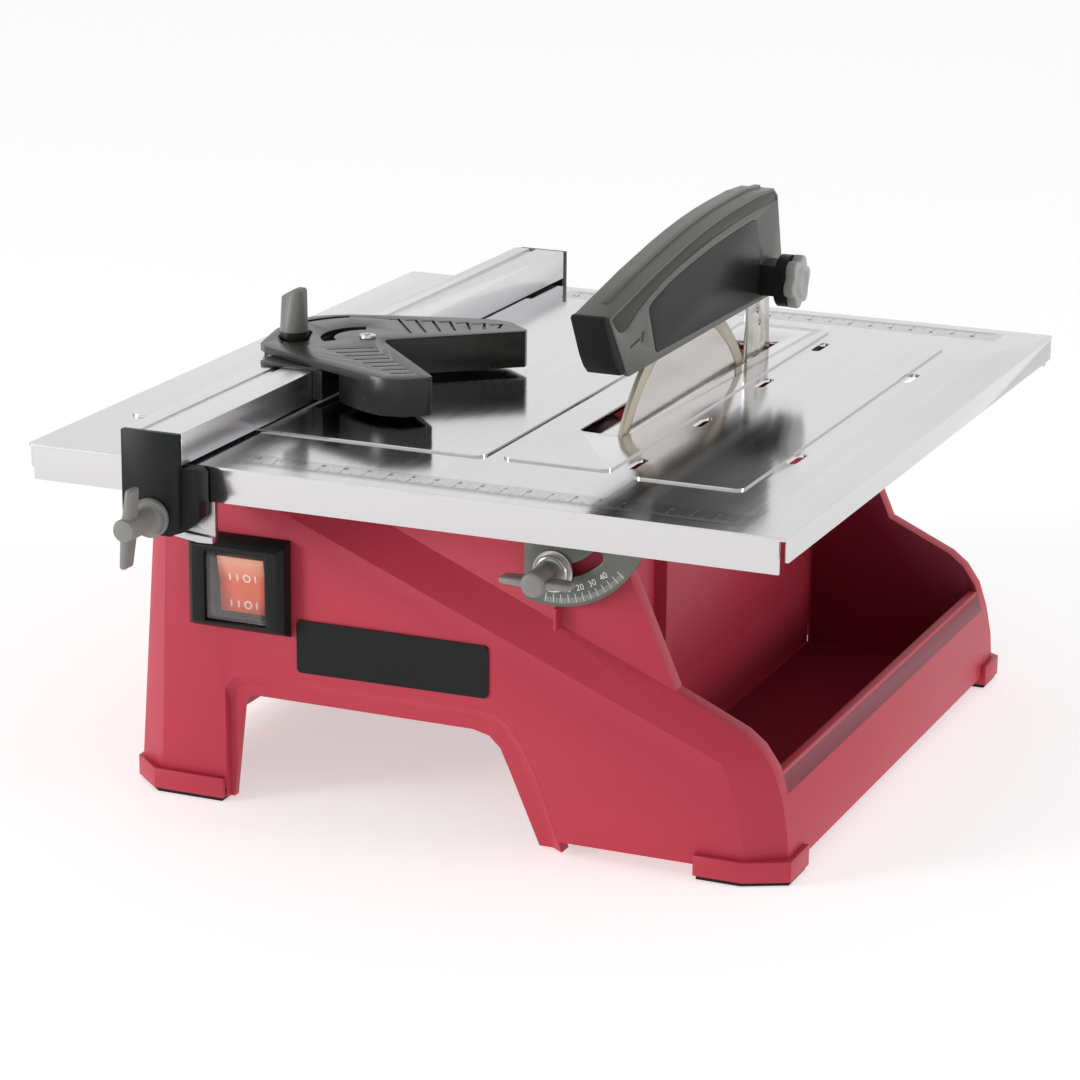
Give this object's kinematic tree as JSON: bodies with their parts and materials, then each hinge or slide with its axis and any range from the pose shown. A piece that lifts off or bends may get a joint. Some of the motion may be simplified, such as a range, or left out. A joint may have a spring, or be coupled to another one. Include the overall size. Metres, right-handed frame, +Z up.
{
  "type": "bench wet tile cutter",
  "caption": "Bench wet tile cutter with a tilting polished table over a red base, a slotted blade guard, a clamped rip fence and a sliding angle gauge.",
  "frame": {"origin": "centre of the overall box in plan, on the bench surface under the rubber pads", "axes": "+X right as the user stands at the switch side, +Y away from the user along the blade, +Z up"},
  "size_m": [0.33, 0.4276, 0.2364],
  "materials": {
    "red_paint": "satin red moulded plastic",
    "black_rubber": "matte black rubber",
    "zinc_steel": "bright zinc plated steel",
    "black_plastic": "satin black plastic",
    "orange_plastic": "glossy orange red plastic",
    "clear_plastic": "clear flexible cover",
    "grey_metal": "painted steel can",
    "cast_alloy": "cast alloy",
    "copper_winding": "varnished winding",
    "blade_steel": "brushed blade steel",
    "diamond_rim": "grainy abrasive rim",
    "polished_steel": "polished stainless sheet",
    "bracket_steel": "dull grey green steel",
    "grey_plastic": "satin grey plastic",
    "fence_alloy": "bright extruded alloy",
    "guard_grey": "satin dark grey plastic"
  },
  "bodies": {
    "base": {"base_shell": "red_paint", "tub_walls": "red_paint", "front_arch_rim": "red_paint", "corner_feet": "red_paint", "rubber_pads": "black_rubber", "tilt_pins": "zinc_steel", "rest_bumpers": "black_rubber", "front_nameplate": "black_plastic", "switch_bezel": "black_plastic", "switch_cover": "clear_plastic", "motor_can": "grey_metal", "motor_caps": "cast_alloy", "stator": "copper_winding", "motor_bearings": "zinc_steel", "motor_screws": "zinc_steel", "lower_guard": "zinc_steel", "splitter": "zinc_steel", "splitter_bolts": "bracket_steel", "cord_inlet": "black_rubber"},
    "rocker": {"switch_rocker": "orange_plastic"},
    "plug": {"drain_plug": "black_rubber"},
    "blade": {"rotor": "zinc_steel", "motor_shaft": "zinc_steel", "cooling_fan": "black_plastic", "blade_core": "blade_steel", "blade_rim": "diamond_rim", "blade_flanges": "zinc_steel", "arbor_nut": "zinc_steel"},
    "table": {"table_sheet": "polished_steel", "front_bracket": "bracket_steel", "rear_bracket": "bracket_steel", "bracket_rivets": "zinc_steel"},
    "front_lock": {"front_lock_knob": "grey_plastic", "front_lock_stud": "zinc_steel"},
    "rear_lock": {"rear_lock_knob": "grey_plastic", "rear_lock_stud": "zinc_steel"},
    "fence": {"fence_rail": "fence_alloy", "fence_clamp": "black_plastic", "fence_jaw": "zinc_steel", "fence_hook": "black_plastic", "fence_screws": "zinc_steel"},
    "fence_lock": {"fence_knob": "grey_plastic", "fence_bolt": "zinc_steel"},
    "gauge": {"gauge_saddle": "black_plastic", "gauge_pivot": "zinc_steel"},
    "gauge_top": {"gauge_head": "black_plastic"},
    "gauge_lever": {"gauge_knob": "grey_plastic", "gauge_collar": "black_plastic", "gauge_screw": "zinc_steel"},
    "guard": {"guard_shells": "guard_grey", "guard_side_plates": "black_plastic", "guard_bands": "black_plastic", "guard_flap": "black_rubber", "guard_screws": "zinc_steel"},
    "guard_lock": {"guard_knob_seat": "black_plastic", "guard_knob": "grey_plastic", "guard_bolt": "zinc_steel"}
  },
  "joints": [
    {"name": "switch_press", "type": "hinge", "parent": "base", "child": "rocker", "pos_m": [-0.084, -0.13925, 0.0972], "axis": [1, 0, 0], "range_deg": [-10, 0]},
    {"name": "drain_pull", "type": "slide", "parent": "base", "child": "plug", "axis": [0, 1, 0], "range_m": [0, 0.018]},
    {"name": "blade_spin", "type": "hinge", "parent": "base", "child": "blade", "pos_m": [0.051, 0.01025, 0.1064], "axis": [1, 0, 0], "continuous": true},
    {"name": "table_tilt", "type": "hinge", "parent": "base", "child": "table", "pos_m": [0.0535, 0.00875, 0.1455], "axis": [0, 1, 0], "range_deg": [0, 45]},
    {"name": "front_lock_turn", "type": "hinge", "parent": "base", "child": "front_lock", "pos_m": [0.0535, -0.13925, 0.11935], "axis": [0, 1, 0], "range_deg": [0, 270]},
    {"name": "rear_lock_turn", "type": "hinge", "parent": "base", "child": "rear_lock", "pos_m": [0.0535, 0.15825, 0.11935], "axis": [0, 1, 0], "range_deg": [0, 270]},
    {"name": "fence_slide", "type": "slide", "parent": "table", "child": "fence", "axis": [1, 0, 0], "range_m": [-0.038, 0.016]},
    {"name": "fence_lock_turn", "type": "hinge", "parent": "fence", "child": "fence_lock", "pos_m": [-0.1004, -0.18925, 0.1366], "axis": [0, 1, 0], "range_deg": [0, 270]},
    {"name": "gauge_slide", "type": "slide", "parent": "fence", "child": "gauge", "axis": [0, 1, 0], "range_m": [-0.09, 0.15]},
    {"name": "gauge_turn", "type": "hinge", "parent": "gauge", "child": "gauge_top", "pos_m": [-0.085, -0.02175, 0.174], "axis": [0, 0, 1], "range_deg": [-10, 10]},
    {"name": "gauge_lever_turn", "type": "hinge", "parent": "gauge", "child": "gauge_lever", "pos_m": [-0.1156, -0.03275, 0.175], "axis": [0, 0, 1], "range_deg": [0, 180]},
    {"name": "guard_lift", "type": "hinge", "parent": "base", "child": "guard", "pos_m": [0.051, 0.09275, 0.1942], "axis": [1, 0, 0], "range_deg": [-20, 0]},
    {"name": "guard_lock_turn", "type": "hinge", "parent": "guard", "child": "guard_lock", "pos_m": [0.062, 0.09275, 0.1942], "axis": [1, 0, 0], "range_deg": [0, 270]}
  ]
}
